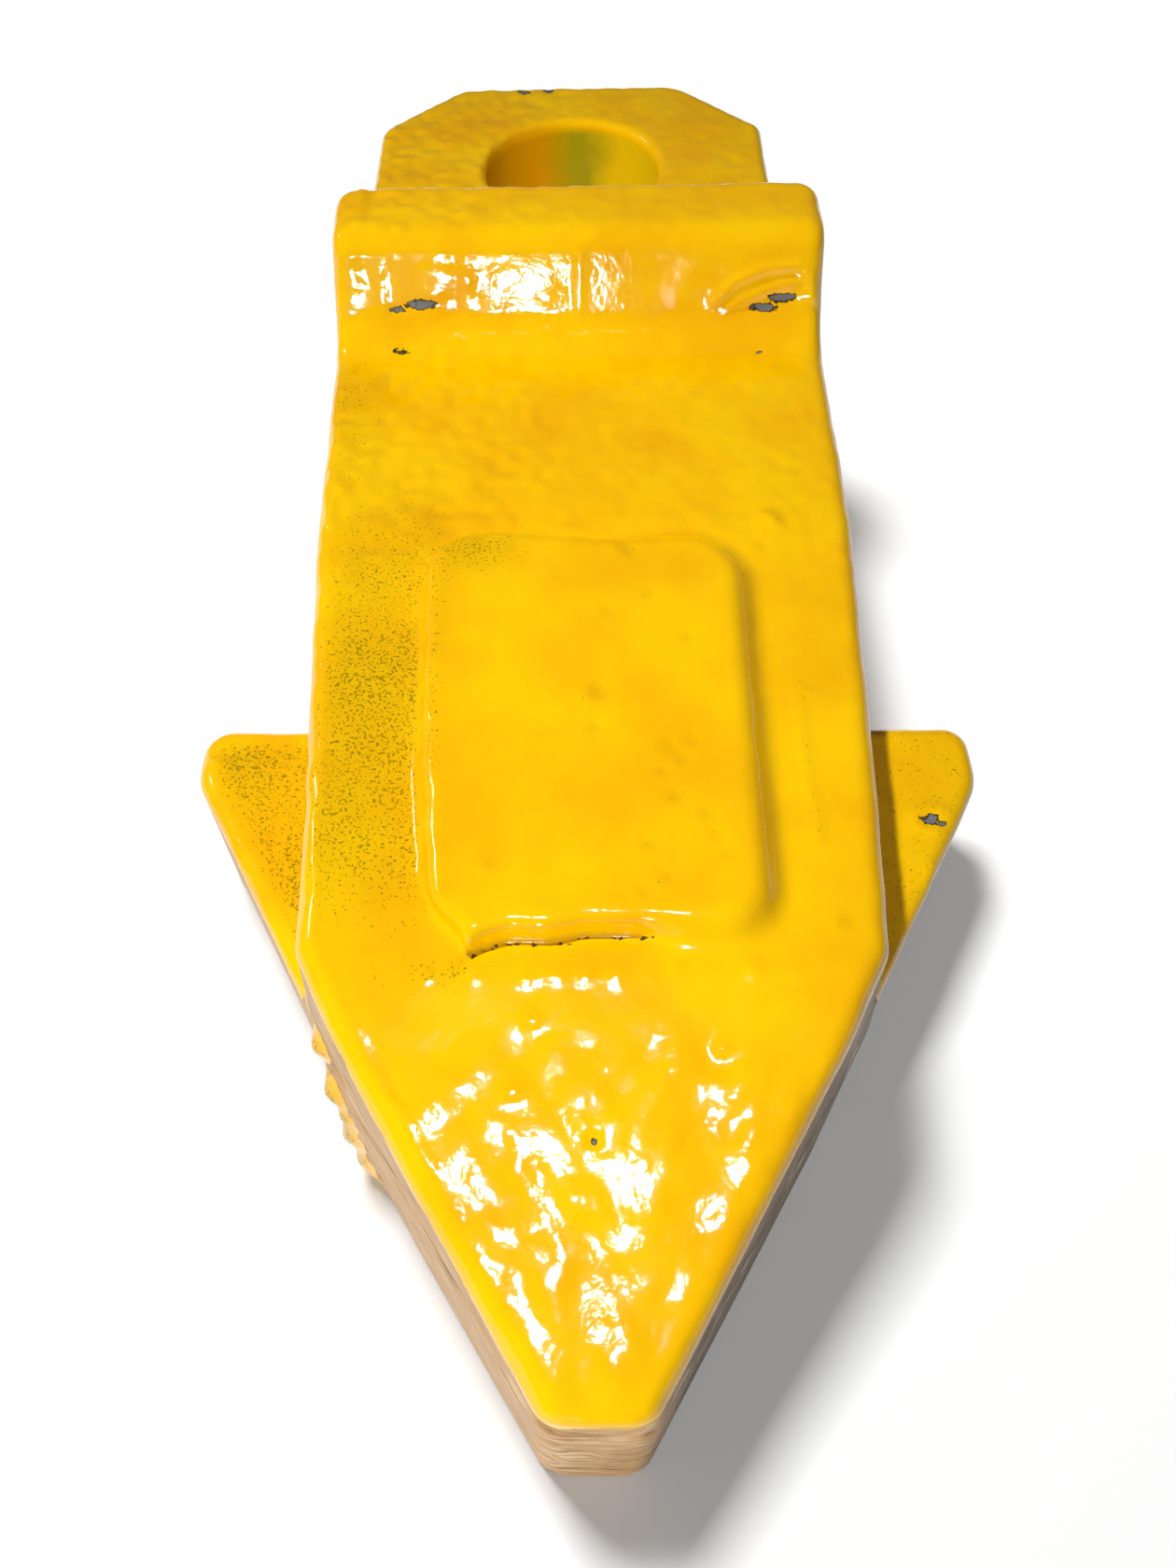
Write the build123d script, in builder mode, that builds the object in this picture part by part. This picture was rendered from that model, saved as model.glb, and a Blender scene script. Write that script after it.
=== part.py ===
from build123d import *
from math import radians, tan
import os

# Crusher tooth, one steel casting: an arrow-shaped blade with two barbs, a raised body with a pad
# on its sloping deck, a level web, a cross rib, and a lug with an upright eye for the holding pin.
# Millimetres. The base lies on Z = 0 and the tip points along -Y. X = 0 is the middle plane.

# Lengths along the tooth, one after the other from the tip.
nose_length = 50.9          # tip to the crease where the nose meets the deck
deck_length = 80.4          # crease to the ridge where the deck meets the web
web_length = 47.7
rib_face_run = 8.1          # run of the rib's sloping front face
rib_top_length = 18.1
rib_to_eye = 34.5
eye_to_end = 34.7

# Heights.
web_height = 52.0           # the lug's top is level with the web
deck_drop = 3.3             # ridge down to the crease
nose_drop = 15.7            # crease down to the tip
rib_rise = 18.0             # rib above the web

# Blade in plan.
blade_height = 27.9
nose_front_width = 12.0     # between the sharp corners that the nose radius rounds off
nose_wall_length = 43.9     # along the tooth, to where the walls turn into the barb flanks
barb_span = 127.0           # across the barbs' blunted points
barb_side_length = 10.9     # from the flank's line to the barb's rear face
nose_wall_angle = 32.7      # nose wall from the middle plane
flank_wall_angle = 29.5     # barb flank from the middle plane

# Body and lug in plan.
body_shoulder_width = 79.2   # where the barb flanks' lines turn into the body's sides
body_waist_width = 87.2     # parallel from the barbs' rear faces to the ridge
body_rear_width = 90.6
lug_inset = 2.4             # lug inside the body's rear width, each side
lug_chamfer = 18.0
eye_diameter = 37.0

# Pad on the deck.
pad_length = 70.5
pad_front_width = 47.5
pad_rear_width = 51.0
pad_height = 3.5
pad_to_crease = 4.2

# Radii.
nose_corner_radius = 5.0
barb_side_radius = 6.0      # where the flank turns into the barb's blunted point
barb_rear_radius = 4.0
shoulder_radius = 6.0
body_corner_radius = 6.0
lug_corner_radius = 8.0
pad_corner_radius = 7.0
crease_radius = 20.0
ridge_radius = 60.0
rib_foot_radius = 9.0
rib_crest_radius = 4.5
body_edge_radius = 3.0
blade_edge_radius = 2.5
lug_edge_radius = 2.5
lug_root_radius = 2.5
pad_edge_radius = 1.6
eye_rim_radius = 1.5

# Stations, measured from the tip, and the levels of the side profile.
crease_station = nose_length
ridge_station = crease_station + deck_length
rib_foot_station = ridge_station + web_length
rib_crest_station = rib_foot_station + rib_face_run
rib_back_station = rib_crest_station + rib_top_length
eye_station = rib_back_station + rib_to_eye
overall_length = eye_station + eye_to_end

crease_height = web_height - deck_drop
nose_height = crease_height - nose_drop
rib_height = web_height + rib_rise
lug_height = web_height

# The blade's half width is a line along each wall. The shoulder is where the barb flank's line
# crosses the line of the body's side.
nose_slope = tan(radians(nose_wall_angle))
flank_slope = tan(radians(flank_wall_angle))
flank_start_half = nose_front_width / 2 + nose_slope * nose_wall_length
barb_side_station = nose_wall_length + (barb_span / 2 - flank_start_half) / flank_slope
blade_length = barb_side_station + barb_side_length
shoulder_station = nose_wall_length + (body_shoulder_width / 2 - flank_start_half) / flank_slope


def along(station):
    """Y of a station: Y = 0 is halfway between the tip and the lug's end."""
    return station - overall_length / 2


def rounded_outline(corners):
    """Closed outline through (across, up, radius) corners, each rounded to its radius."""
    return FilletPolyline(
        *[(across, up) for across, up, _ in corners],
        radius=[radius for _, _, radius in corners],
        close=True,
    )


def mirrored_outline(half_corners):
    """Closed outline from its right half's corners, listed from the front to the rear."""
    return rounded_outline(half_corners + [(-x, y, radius) for x, y, radius in reversed(half_corners)])


nose_corners = [
    (nose_front_width / 2, along(0), nose_corner_radius),
    (flank_start_half, along(nose_wall_length), 0),
]

# Blade: the arrow's plan, with its upper edge rounded all round.
with BuildPart() as blade:
    with BuildSketch():
        with BuildLine():
            mirrored_outline(nose_corners + [
                (barb_span / 2, along(barb_side_station), barb_side_radius),
                (barb_span / 2, along(blade_length), barb_rear_radius),
            ])
        make_face()
    extrude(amount=blade_height)
    fillet(blade.faces().sort_by(Axis.Z)[-1].edges(), blade_edge_radius)

# Body: its plan is drawn up to the rib's height, and the side profile trims the top.
with BuildPart() as body:
    with BuildSketch():
        with BuildLine():
            mirrored_outline(nose_corners + [
                (body_shoulder_width / 2, along(shoulder_station), shoulder_radius),
                (body_waist_width / 2, along(blade_length), 0),
                (body_waist_width / 2, along(ridge_station), 0),
                (body_rear_width / 2, along(rib_back_station), body_corner_radius),
            ])
        make_face()
    extrude(amount=rib_height)
    with BuildSketch(Plane.YZ):
        with BuildLine():
            rounded_outline([
                (along(0), 0, 0),
                (along(0), nose_height, 0),
                (along(crease_station), crease_height, crease_radius),
                (along(ridge_station), web_height, ridge_radius),
                (along(rib_foot_station), web_height, rib_foot_radius),
                (along(rib_crest_station), rib_height, rib_crest_radius),
                (along(rib_back_station), rib_height, 0),
                (along(rib_back_station), 0, 0),
            ])
        make_face()
    extrude(amount=max(body_rear_width, body_waist_width), both=True, mode=Mode.INTERSECT)
    # The upper rim runs along both sides, round the tip and over the back of the rib. The edges
    # that cross the top between them stay, so they are taken out of the choice.
    upper_edges = body.edges().filter_by(lambda edge: edge.center().Z > body_edge_radius)
    rim = upper_edges - upper_edges.filter_by(Axis.Z)
    crossings = rim.filter_by(Axis.X).sort_by(Axis.Y)[1:-1]
    fillet(rim - crossings, body_edge_radius)

# Pad: a low raised panel that lies on the sloping deck.
deck_plane = Plane(
    origin=(0, along(crease_station), crease_height),
    x_dir=(1, 0, 0),
    z_dir=(0, -deck_drop, deck_length),
)
with BuildPart() as pad:
    with BuildSketch(deck_plane):
        with BuildLine():
            mirrored_outline([
                (pad_front_width / 2, pad_to_crease, pad_corner_radius),
                (pad_rear_width / 2, pad_to_crease + pad_length, pad_corner_radius),
            ])
        make_face()
    extrude(amount=pad_height)
    fillet(pad.faces().sort_by(Axis.Z)[-1].edges(), pad_edge_radius)

# Lug: it starts inside the rib, and its two rear corners are cut off.
lug_half = body_rear_width / 2 - lug_inset
with BuildPart() as lug:
    with BuildSketch():
        with BuildLine():
            mirrored_outline([
                (lug_half, along(rib_back_station) - rib_top_length / 2, 0),
                (lug_half, along(overall_length) - lug_chamfer, lug_corner_radius),
                (lug_half - lug_chamfer, along(overall_length), lug_corner_radius),
            ])
        make_face()
    extrude(amount=lug_height)
    fillet(lug.faces().sort_by(Axis.Z)[-1].edges().sort_by(Axis.Y)[1:], lug_edge_radius)

# The casting: the four forms in one solid, then the eye and the rounding at the rib's back.
with BuildPart() as tooth:
    for form in (blade, body, pad, lug):
        add(form.part)
    with Locations((0, along(eye_station), lug_height)):
        Hole(radius=eye_diameter / 2, depth=lug_height)
    eye_rim = tooth.faces().filter_by(GeomType.CYLINDER).sort_by_distance(
        (0, along(eye_station), lug_height / 2))[0].edges().sort_by(Axis.Z)[-1]
    fillet(eye_rim, eye_rim_radius)
    lug_root = tooth.edges().filter_by(Axis.X).sort_by_distance((0, along(rib_back_station), lug_height))[0]
    fillet(lug_root, lug_root_radius)

tooth.part.label = "tooth"
os.makedirs("parts", exist_ok=True)
export_step(tooth.part, "parts/tooth.step")
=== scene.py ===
"""Looks of a jaw crusher tooth: one steel casting under thick gloss enamel, with ground side walls.

Lengths in this file are millimetres, and the mesh is turned to metres at the end. A station is the
distance from the tip along the tooth. Y = 0 in the row frame is halfway along.
"""

import logging
import math
from dataclasses import dataclass, field
from enum import Enum
from functools import cached_property

import bmesh
import bpy
import numpy as np
from mathutils import Matrix, Vector


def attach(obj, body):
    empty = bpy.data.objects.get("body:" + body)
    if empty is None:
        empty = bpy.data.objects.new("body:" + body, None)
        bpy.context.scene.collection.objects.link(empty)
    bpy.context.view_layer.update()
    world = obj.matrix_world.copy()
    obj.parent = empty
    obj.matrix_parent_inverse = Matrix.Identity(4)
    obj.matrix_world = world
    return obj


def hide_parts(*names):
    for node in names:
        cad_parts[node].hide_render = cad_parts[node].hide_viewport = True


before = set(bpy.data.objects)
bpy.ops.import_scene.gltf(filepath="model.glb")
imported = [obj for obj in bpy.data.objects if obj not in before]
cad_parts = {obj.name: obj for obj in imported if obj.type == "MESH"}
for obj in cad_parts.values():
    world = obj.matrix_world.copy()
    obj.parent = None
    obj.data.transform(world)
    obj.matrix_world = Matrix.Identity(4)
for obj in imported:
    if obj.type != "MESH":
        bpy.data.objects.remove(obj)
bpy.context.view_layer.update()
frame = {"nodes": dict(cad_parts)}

MM = 0.001
log = logging.getLogger("tooth")


class Mask(Enum):
    """Point attributes that say which finish shows at a place, from 0 to 1."""

    BARE = "bare_wall"
    CHIP_AND_GROOVE_SHADOW = "chipped_and_groove_shadow"
    DRY = "dry_spray"
    # The eye's mask carries its thin paint and the painted shade and light across the eye.
    THIN = "thin_paint_and_painted_shade"
    ALONG = "wall_along"


class Axis(Enum):
    """The three directions of a grid."""

    X = 0
    Y = 1
    Z = 2


# Distance fields


def smoothstep(value: np.ndarray, low: float, high: float) -> np.ndarray:
    """Rises from 0 at low to 1 at high as 3t^2 - 2t^3."""
    t = np.clip((value - low) / (high - low), 0.0, 1.0)
    return t * t * (3.0 - 2.0 * t)


def round_meet(a: np.ndarray, b: np.ndarray, radius: float) -> np.ndarray:
    """Where two solids overlap, with the outer edge rounded.

    The larger distance holds, and within the radius of both faces it is the length of the pair of
    distances from the arc's middle.

    Args:
        a: signed distance of the first solid.
        b: signed distance of the second solid.
        radius: radius of the edge between their faces.

    Returns:
        Signed distance of the common solid.
    """
    return np.minimum(np.maximum(a, b), -radius) + np.hypot(
        np.maximum(a + radius, 0.0), np.maximum(b + radius, 0.0))


def round_join(a: np.ndarray, b: np.ndarray, radius: float) -> np.ndarray:
    """Two solids as one, with a fillet in the corner between them: round_meet turned inside out."""
    return -round_meet(-a, -b, radius)


def rounded_loop(corners: list[tuple[float, float, float]], step: float = 0.6) -> np.ndarray:
    """Closed outline whose corners are arcs.

    Each corner's arc touches both of its sides at radius times tan(half the turn) from the corner.

    Args:
        corners: (across, up, radius) of each corner, in order round the outline.
        step: length of the pieces that an arc is divided into.

    Returns:
        Points of the outline, as an (n, 2) array.
    """
    points = np.array([corner[:2] for corner in corners])
    made = []
    for here, before, after, (_, _, radius) in zip(
            points, np.roll(points, 1, 0), np.roll(points, -1, 0), corners):
        back, on = before - here, after - here
        back, on = back / np.linalg.norm(back), on / np.linalg.norm(on)
        opening = math.acos(float(np.clip(back @ on, -1.0, 1.0)))
        if radius <= 0.0 or math.pi - opening < 1e-4:
            made.append(here[None])
            continue
        reach = radius / math.tan(opening / 2)
        middle = here + (back + on) / np.linalg.norm(back + on) * radius / math.sin(opening / 2)
        start, end = here + back * reach - middle, here + on * reach - middle
        turn = math.pi - opening
        share = np.linspace(0.0, 1.0, max(3, int(radius * turn / step)))[:, None]
        made.append(middle + (np.sin((1 - share) * turn) * start + np.sin(share * turn) * end)
                    / math.sin(turn))
    return np.concatenate(made)


def loop_distance(across: np.ndarray, up: np.ndarray, loop: np.ndarray) -> np.ndarray:
    """Signed distance to a closed outline, negative inside.

    The distance is the least of those to the outline's straight pieces, and the side comes from
    how often a ray along +across meets the outline.

    Args:
        across: first coordinate of the points.
        up: second coordinate of the points, of a shape that broadcasts with across.
        loop: the outline's points.

    Returns:
        The distances, in the shape of the two coordinates together.
    """
    across, up = np.broadcast_arrays(across, up)
    best = np.full(across.shape, np.inf)
    inside = np.zeros(across.shape, bool)
    for (ax, ay), (bx, by) in zip(loop, np.roll(loop, -1, 0)):
        dx, dy = bx - ax, by - ay
        px, py = across - ax, up - ay
        t = np.clip((px * dx + py * dy) / (dx * dx + dy * dy), 0.0, 1.0)
        np.minimum(best, (px - t * dx) ** 2 + (py - t * dy) ** 2, out=best)
        if ay != by:
            inside ^= ((ay > up) != (by > up)) & (across < ax + (up - ay) * dx / dy)
    return np.where(inside, -1.0, 1.0) * np.sqrt(best)


@dataclass
class OutlineTable:
    """Signed distance to an outline, worked out once on a raster and read between its points."""

    loop: np.ndarray
    spacing: float = 0.4
    margin: float = 6.0
    low: np.ndarray = field(init=False)
    values: np.ndarray = field(init=False)

    def __post_init__(self) -> None:
        """Fills the raster over the outline's box and a margin round it."""
        self.low = self.loop.min(0) - self.margin
        count = np.ceil((self.loop.max(0) + self.margin - self.low) / self.spacing).astype(int) + 1
        across = self.low[0] + np.arange(count[0])[:, None] * self.spacing
        up = self.low[1] + np.arange(count[1])[None, :] * self.spacing
        self.values = loop_distance(across, up, self.loop)

    def __call__(self, across: np.ndarray, up: np.ndarray) -> np.ndarray:
        """Distance at points: blended between the raster's four nearest, and beyond the raster
        the way to it is added."""
        far_u, far_v = np.broadcast_arrays((across - self.low[0]) / self.spacing,
                                           (up - self.low[1]) / self.spacing)
        rows, columns = self.values.shape
        u, v = np.clip(far_u, 0.0, rows - 1.001), np.clip(far_v, 0.0, columns - 1.001)
        i, j = u.astype(int), v.astype(int)
        s, t = u - i, v - j
        grid = self.values
        near = ((1 - s) * ((1 - t) * grid[i, j] + t * grid[i, j + 1])
                + s * ((1 - t) * grid[i + 1, j] + t * grid[i + 1, j + 1]))
        return near + np.hypot(far_u - u, far_v - v) * self.spacing


@dataclass
class LatticeNoise:
    """Smooth random field: values on a cubic lattice, blended between its points by a quintic."""

    seed: int
    size: int = 24
    lattice: np.ndarray = field(init=False)

    def __post_init__(self) -> None:
        """Draws the lattice's values between -1 and 1."""
        self.lattice = np.random.default_rng(self.seed).uniform(-1.0, 1.0, (self.size,) * 3)

    def __call__(self, points: np.ndarray, scale: np.ndarray | float) -> np.ndarray:
        """The field's value at each point, where scale is the lattice's spacing in millimetres."""
        at = points / scale + 7.3
        cell = np.floor(at).astype(int)
        t = at - cell
        t = t * t * t * (t * (t * 6 - 15) + 10)
        total = np.zeros(len(points))
        for corner in np.ndindex(2, 2, 2):
            corner = np.array(corner)
            weight = np.prod(np.where(corner == 1, t, 1 - t), axis=1)
            index = (cell + corner) % self.size
            total += weight * self.lattice[index[:, 0], index[:, 1], index[:, 2]]
        return total


# From a distance field to a mesh


@dataclass
class NetMesher:
    """Closed mesh of the zero level of a distance field, on a rectilinear grid.

    A casting whose plan, web, rib and eye run into each other in fillets is no function of two
    parameters, and a patch for each face would show a seam at every fillet. So the surface is
    given by one function of three coordinates. Each grid cell that the surface passes through gets
    one vertex, the mean of the points where it crosses the cell's edges, and each grid edge that
    it crosses gets one face, from the four cells round that edge.
    """

    axes: tuple[np.ndarray, np.ndarray, np.ndarray]

    def cells(self, values: np.ndarray) -> tuple[np.ndarray, np.ndarray]:
        """Vertices of the cells that the surface passes through.

        Args:
            values: the field at the grid's points.

        Returns:
            The vertices' places, and the number of each cell's vertex or -1.
        """
        shape = tuple(n - 1 for n in values.shape)
        corner = {c: values[tuple(slice(d, d + n) for d, n in zip(c, shape))]
                  for c in np.ndindex(2, 2, 2)}
        low = np.minimum.reduce(list(corner.values()))
        high = np.maximum.reduce(list(corner.values()))
        active = np.nonzero((low < 0) & (high >= 0))
        number = np.full(shape, -1)
        number[active] = np.arange(len(active[0]))
        found = {c: v[active] for c, v in corner.items()}
        total, count = np.zeros((len(active[0]), 3)), np.zeros(len(active[0]))
        for c in np.ndindex(2, 2, 2):
            for axis in Axis:
                if c[axis.value]:
                    continue
                end = tuple(v + (k == axis.value) for k, v in enumerate(c))
                a, b = found[c], found[end]
                crossed = (a < 0) != (b < 0)
                t = np.where(crossed, a / np.where(crossed, a - b, 1.0), 0.0)
                at = np.tile(np.array(c, float), (len(a), 1))
                at[:, axis.value] = t
                total += np.where(crossed[:, None], at, 0.0)
                count += crossed
        inner = total / count[:, None]
        places = [np.interp(active[k] + inner[:, k], np.arange(len(axis)), axis)
                  for k, axis in enumerate(self.axes)]
        return np.stack(places, 1), number

    def faces(self, values: np.ndarray, number: np.ndarray) -> np.ndarray:
        """Quads round the grid edges that the surface crosses, turned to face outwards.

        Args:
            values: the field at the grid's points.
            number: the number of each cell's vertex.

        Returns:
            Four vertex numbers for each face.
        """
        made = []
        inside = values < 0
        for axis in range(3):
            u, v = (axis + 1) % 3, (axis + 2) % 3
            near = [slice(1, -1)] * 3
            near[axis] = slice(0, -1)
            far = list(near)
            far[axis] = slice(1, None)
            leaves = inside[tuple(near)] & ~inside[tuple(far)]
            enters = ~inside[tuple(near)] & inside[tuple(far)]
            for crossed, order in ((leaves, (0, 1, 2, 3)), (enters, (3, 2, 1, 0))):
                index = np.stack(np.nonzero(crossed), 1)
                index[:, u] += 1
                index[:, v] += 1
                ring = []
                for du, dv in ((-1, -1), (0, -1), (0, 0), (-1, 0)):
                    cell = index.copy()
                    cell[:, u] += du
                    cell[:, v] += dv
                    ring.append(number[cell[:, 0], cell[:, 1], cell[:, 2]])
                made.append(np.stack([ring[k] for k in order], 1))
        return np.concatenate(made)


def gradient(distance, points: np.ndarray, step: float = 0.15) -> np.ndarray:
    """Outward direction of a distance field at points, from central differences."""
    slopes = [distance(points + offset) - distance(points - offset)
              for offset in np.eye(3) * step]
    normal = np.stack(slopes, 1)
    return normal / np.maximum(np.linalg.norm(normal, axis=1, keepdims=True), 1e-9)


# The casting


@dataclass
class CastForm:
    """The casting's sizes, and its shape as a signed distance."""

    nose_length: float = 50.9
    deck_length: float = 80.4
    web_length: float = 47.7
    rib_face_run: float = 8.1
    rib_top_length: float = 18.1
    rib_to_eye: float = 34.5
    eye_to_end: float = 34.7
    web_height: float = 52.0
    deck_drop: float = 3.3
    nose_drop: float = 15.7
    rib_rise: float = 18.0
    blade_height: float = 27.9
    nose_front_half: float = 6.0
    nose_wall_length: float = 43.9
    nose_wall_angle: float = 32.7
    flank_wall_angle: float = 29.5
    barb_half: float = 63.9
    barb_side_length: float = 10.6
    body_crease_half: float = 39.9
    body_ridge_half: float = 45.0
    body_rear_half: float = 46.6
    body_lean: float = 0.030
    wall_lean_nose: float = 0.020
    wall_lean_barb: float = 0.042
    lug_half: float = 42.9
    lug_chamfer: tuple[float, float] = (18.3, 17.0)
    eye_radius: float = 18.5

    @property
    def crease(self) -> float:
        """Station of the crease between nose and deck."""
        return self.nose_length

    @property
    def ridge(self) -> float:
        """Station of the ridge between deck and web."""
        return self.crease + self.deck_length

    @property
    def rib_foot(self) -> float:
        """Station where the rib's front face starts."""
        return self.ridge + self.web_length

    @property
    def rib_crest(self) -> float:
        """Station of the rib's front edge."""
        return self.rib_foot + self.rib_face_run

    @property
    def rib_back(self) -> float:
        """Station of the rib's rear face."""
        return self.rib_crest + self.rib_top_length

    @property
    def eye_station(self) -> float:
        """Station of the eye's middle."""
        return self.rib_back + self.rib_to_eye

    @property
    def length(self) -> float:
        """Overall length."""
        return self.eye_station + self.eye_to_end

    @property
    def barb_rear(self) -> float:
        """Station of the barbs' rear faces."""
        return self.barb_side + self.barb_side_length

    @property
    def barb_side(self) -> float:
        """Station where a barb's flank turns into its blunted point."""
        start = self.nose_front_half + self.nose_slope * self.nose_wall_length
        return self.nose_wall_length + (self.barb_half - start) / self.flank_slope

    @property
    def nose_slope(self) -> float:
        """Sideways run of the nose wall for each millimetre of station."""
        return math.tan(math.radians(self.nose_wall_angle))

    @property
    def flank_slope(self) -> float:
        """Sideways run of the barb flank for each millimetre of station."""
        return math.tan(math.radians(self.flank_wall_angle))

    def bow(self, station: np.ndarray) -> np.ndarray:
        """How far the real casting's middle line strays sideways at a station."""
        return np.interp(station, (0, 40, 75, 110, 136, 190, 245, 274),
                         (0.08, -0.26, 0.23, 0.11, 0.02, -0.25, -0.64, 0.0))

    def nose_sides(self, sign: int) -> list[tuple[float, float, float]]:
        """Corners of the nose on one side, from the front."""
        turn_half = self.nose_front_half + self.nose_slope * self.nose_wall_length
        return [(sign * self.nose_front_half, 0.0, 5.0),
                (sign * turn_half, self.nose_wall_length, 60.0)]

    def both_sides(self, right: list, left: list) -> np.ndarray:
        """Closed outline from the corners of the two sides, each listed from the front."""
        return rounded_loop(right + left[::-1])

    @cached_property
    def blade_side(self) -> OutlineTable:
        """Distance to the blade's plan outline."""
        return OutlineTable(self.blade_plan())

    @cached_property
    def body_side(self) -> OutlineTable:
        """Distance to the body's plan outline."""
        return OutlineTable(self.body_plan())

    @cached_property
    def lug_side(self) -> OutlineTable:
        """Distance to the lug's plan outline."""
        return OutlineTable(self.lug_plan())

    @cached_property
    def profile(self) -> OutlineTable:
        """Distance to the body's side profile, in (station, height)."""
        return OutlineTable(self.side_profile())

    def blade_plan(self) -> np.ndarray:
        """Outline of the blade with its barbs."""
        right = self.nose_sides(1) + [(self.barb_half - 0.4, self.barb_side - 0.6, 9.0),
                                      (self.barb_half - 0.4, self.barb_rear, 4.0)]
        left = self.nose_sides(-1) + [(-self.barb_half, self.barb_side, 8.0),
                                      (-self.barb_half, self.barb_rear - 0.2, 5.0)]
        return self.both_sides(right, left)

    def body_plan(self) -> np.ndarray:
        """Outline of the raised body at the blade's top level."""
        side = (self.body_ridge_half - self.body_crease_half) / self.deck_length
        flank_at_crease = (self.nose_front_half + self.nose_slope * self.nose_wall_length
                           + self.flank_slope * (self.crease - self.nose_wall_length))
        run = (self.body_crease_half - flank_at_crease) / (self.flank_slope - side)
        ends = [self.nose_sides(sign) + [
            (sign * (self.body_crease_half + side * run), self.crease + run, 6.0),
            (sign * self.body_ridge_half, self.ridge, 60.0),
            (sign * self.body_rear_half, self.rib_back, 6.0)] for sign in (1, -1)]
        return self.both_sides(*ends)

    def lug_plan(self) -> np.ndarray:
        """Outline of the lug: the left rear corner is worn rounder than the right one."""
        start = self.rib_back - self.rib_top_length / 2
        ends = []
        for sign, outer, chamfer, radius in ((1, self.lug_half - 0.6, self.lug_chamfer[0], 3.5),
                                             (-1, self.lug_half, self.lug_chamfer[1], 9.0)):
            ends.append([(sign * outer, start, 0.0),
                         (sign * outer, self.length - chamfer - 0.5, radius),
                         (sign * (outer - chamfer), self.length, 9.0)])
        return self.both_sides(*ends)

    def side_profile(self) -> np.ndarray:
        """Outline of the body in (station, height), with round crease, ridge, foot and crest."""
        crease_height = self.web_height - self.deck_drop
        rib_height = self.web_height + self.rib_rise
        return rounded_loop([
            (0.0, -20.0, 0.0),
            (0.0, crease_height - self.nose_drop, 0.0),
            (self.crease, crease_height, 14.0),
            (self.ridge, self.web_height, 60.0),
            (self.rib_foot, self.web_height, 9.0),
            (self.rib_crest, rib_height, 6.0),
            (self.rib_back, rib_height, 3.0),
            (self.rib_back, -20.0, 0.0),
        ])

    def deck_height(self, station: np.ndarray) -> np.ndarray:
        """Height of the sloping deck at a station."""
        return self.web_height - self.deck_drop * (self.ridge - station) / self.deck_length

    def distance(self, x: np.ndarray, y: np.ndarray, z: np.ndarray) -> np.ndarray:
        """Signed distance to the casting's surface.

        The blade, body and lug are plan outlines that lean inwards with height, cut by their top
        levels with round edges, and joined with fillets. The eye is taken out and the base is
        flat.

        Args:
            x: sideways coordinate.
            y: station.
            z: height over the base.

        Returns:
            Distance in the shape of the three coordinates together.
        """
        x = x - self.bow(y)
        above = np.maximum(z - self.blade_height, 0.0)
        below = np.maximum(self.blade_height - z, 0.0)
        lean = np.interp(y, (25.0, 95.0), (self.wall_lean_nose, self.wall_lean_barb))
        body_lean = self.body_lean * smoothstep(y, 30.0, 60.0)
        profile = self.profile(y, z)
        blade = round_meet(self.blade_side(x, y) + below * lean,
                           np.maximum(z - self.blade_height, profile), 2.5)
        body = round_meet(self.body_side(x, y) + above * body_lean + below * lean, profile, 2.8)
        solid = round_join(blade, body, 1.6)
        lug = round_meet(self.lug_side(x, y) + above * 0.02, z - self.web_height, 2.2)
        solid = np.minimum(solid, round_join(body, lug, 2.5))
        eye = self.eye_radius - np.hypot(x, y - self.eye_station)
        solid = round_meet(solid, eye, 1.8)
        return round_meet(solid, -z, 0.7)


@dataclass
class PadForm:
    """The raised panel on the deck."""

    cast: CastForm
    height: float = 3.4

    def plan(self) -> np.ndarray:
        """Outline of the panel in (across, station), with its left front corner drawn out."""
        return rounded_loop([
            (24.0, 55.9, 7.0), (24.9, 125.4, 9.0),
            (2.0, 125.6, 20.0), (-9.0, 126.8, 14.0), (-16.0, 127.4, 14.0), (-25.9, 124.8, 8.0),
            (-24.6, 84.0, 60.0), (-22.6, 60.0, 9.0), (-17.6, 54.8, 2.5), (-17.1, 50.8, 0.5),
            (-15.5, 53.4, 2.5), (-11.0, 55.2, 4.0), (-6.0, 54.9, 5.0), (-1.0, 55.9, 6.0),
        ])

    def root_radius(self, x: np.ndarray, y: np.ndarray) -> np.ndarray:
        """Fillet between panel and deck: wide on the right and at the back, and sharp under the
        lip of paint at the left half of the front."""
        lip = smoothstep(-y, -66.0, -59.0) * smoothstep(-x, -14.0, -2.0)
        left = smoothstep(-x, 4.0, 18.0)
        back = smoothstep(y, 112.0, 122.0) * smoothstep(-x, -16.0, 0.0)
        return np.maximum(4.6 - 3.9 * lip - 2.0 * left - 2.4 * back, 0.6)

    @cached_property
    def side(self) -> OutlineTable:
        """Distance to the panel's outline."""
        return OutlineTable(self.plan())

    def distance(self, x: np.ndarray, y: np.ndarray, z: np.ndarray) -> np.ndarray:
        """Signed distance: the outline drawn up to a level that follows the deck."""
        side = self.side(x, y)
        top = z - self.cast.deck_height(y) - self.height
        under = self.cast.deck_height(y) - 6.0 - z
        return np.maximum(round_meet(side + 0.3 * np.maximum(-top, 0.0), top, 2.9), under)


@dataclass(frozen=True)
class Spot:
    """A small place on the surface: its middle, its half sizes along X and along Y and Z, and how
    far it stands out."""

    x: float
    y: float
    z: float
    half_x: float
    half_yz: float
    rise: float = 0.0

    def weight(self, points: np.ndarray) -> np.ndarray:
        """Bell curve of the distance from the middle, measured in half sizes."""
        away = ((points[:, 0] - self.x) / self.half_x) ** 2 + (
            ((points[:, 1] - self.y) ** 2 + (points[:, 2] - self.z) ** 2) / self.half_yz ** 2)
        return np.exp(-away * 0.9)


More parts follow.
